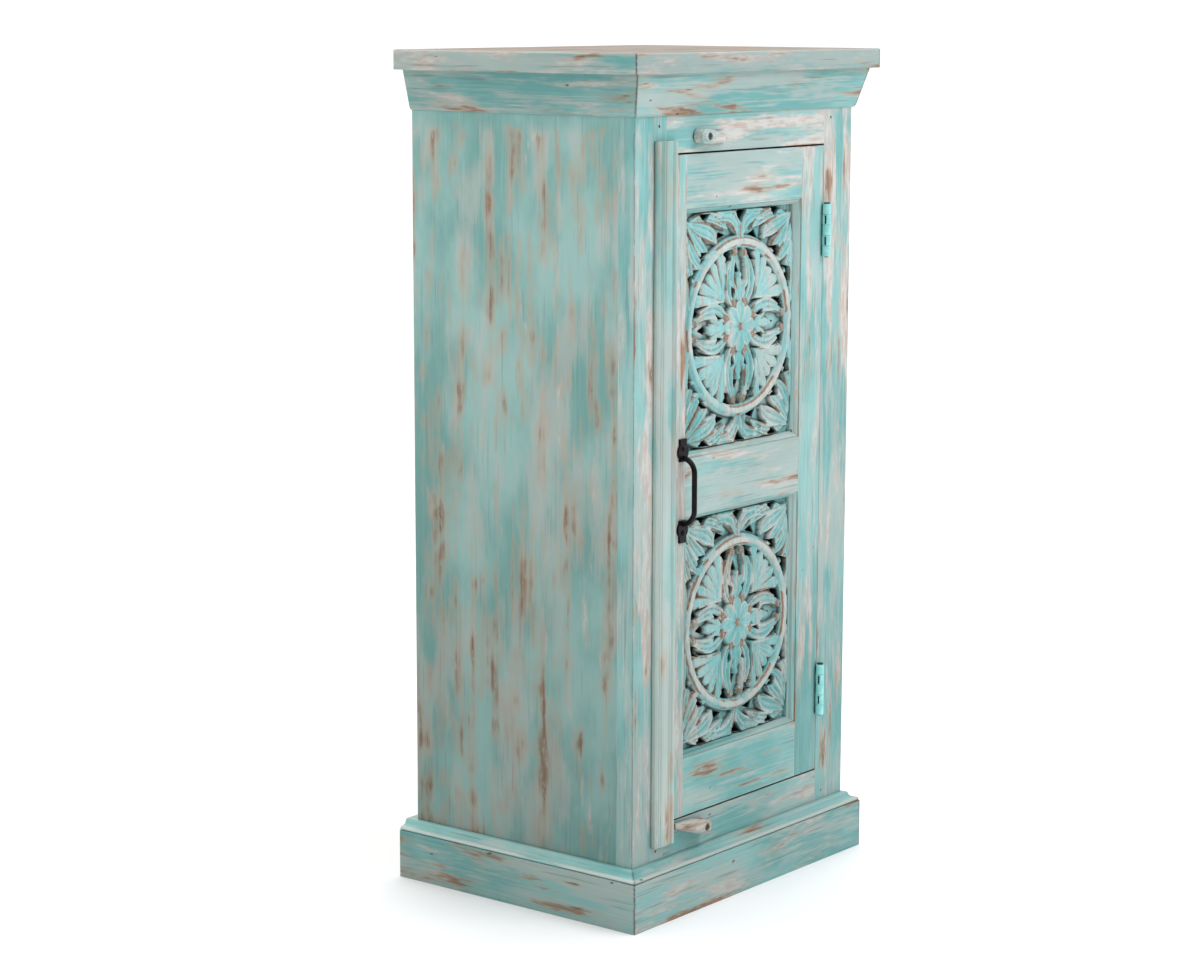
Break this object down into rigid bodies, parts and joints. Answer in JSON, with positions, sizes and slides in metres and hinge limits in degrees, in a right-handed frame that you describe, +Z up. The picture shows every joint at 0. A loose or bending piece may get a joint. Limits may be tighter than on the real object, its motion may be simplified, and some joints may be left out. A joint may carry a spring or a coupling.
{
  "type": "carved single-door cabinet",
  "caption": "Tall narrow painted wooden cabinet with a plinth, a crown under a flat top, and one hinged door holding pierced carved panels, with an iron pull and wooden turn buttons.",
  "frame": {"origin": "middle of the case footprint on the floor", "axes": "+X to the right seen from the front, +Y to the back, +Z up"},
  "size_m": [0.459, 0.3485, 0.95],
  "materials": {
    "painted_wood": "worn matt paint",
    "bare_wood": "bare",
    "black_iron": "blackened",
    "painted_hinge": "painted",
    "steel": "dull"
  },
  "bodies": {
    "case": {"back_panel": "bare_wood", "back_top_rail": "bare_wood", "base_moulding_front": "painted_wood", "base_moulding_left": "painted_wood", "base_moulding_right": "painted_wood", "bottom_board": "bare_wood", "button_screws": "steel", "crown_front": "painted_wood", "crown_left": "painted_wood", "crown_right": "painted_wood", "floor_cleat_left": "bare_wood", "floor_cleat_right": "bare_wood", "frame_bottom_rail": "painted_wood", "frame_joint_pins": "steel", "frame_left_stile": "painted_wood", "frame_right_stile": "painted_wood", "frame_top_rail": "painted_wood", "hinge_screws_frame": "steel", "left_side": "painted_wood", "lower_hinge_frame_leaf": "painted_hinge", "lower_hinge_pin": "painted_hinge", "plinth_back": "bare_wood", "plinth_front": "painted_wood", "plinth_left": "painted_wood", "plinth_right": "painted_wood", "right_side": "painted_wood", "shelf": "bare_wood", "shelf_cleat_left": "bare_wood", "shelf_cleat_right": "bare_wood", "top_corner_blocks": "bare_wood", "top_edge_front": "painted_wood", "top_edge_left": "painted_wood", "top_edge_right": "painted_wood", "top_panel": "painted_wood", "upper_hinge_frame_leaf": "painted_hinge", "upper_hinge_pin": "painted_hinge"},
    "door": {"door_bottom_rail": "painted_wood", "door_cover_strip": "painted_wood", "door_handle": "black_iron", "door_hinge_stile": "painted_wood", "door_latch_stile": "painted_wood", "door_middle_rail": "painted_wood", "door_top_rail": "painted_wood", "handle_screws": "black_iron", "hinge_screws_door": "steel", "lower_bead_bottom": "painted_wood", "lower_bead_left": "painted_wood", "lower_bead_right": "painted_wood", "lower_bead_top": "painted_wood", "lower_carved_panel": "painted_wood", "lower_hinge_door_leaf": "painted_hinge", "upper_bead_bottom": "painted_wood", "upper_bead_left": "painted_wood", "upper_bead_right": "painted_wood", "upper_bead_top": "painted_wood", "upper_carved_panel": "painted_wood", "upper_hinge_door_leaf": "painted_hinge"},
    "upper_button": {"upper_turn_button": "painted_wood"},
    "lower_button": {"lower_turn_button": "painted_wood"}
  },
  "joints": [
    {"name": "door_swing", "type": "hinge", "parent": "case", "child": "door", "pos_m": [0.1484, -0.16275, 0.474], "axis": [0, 0, 1], "range_deg": [0, 165]},
    {"name": "upper_button_turn", "type": "hinge", "parent": "case", "child": "upper_button", "pos_m": [-0.091, -0.1653, 0.86], "axis": [0, 1, 0], "range_deg": [0, 120]},
    {"name": "lower_button_turn", "type": "hinge", "parent": "case", "child": "lower_button", "pos_m": [-0.086, -0.1653, 0.091], "axis": [0, 1, 0], "range_deg": [0, 170]}
  ]
}
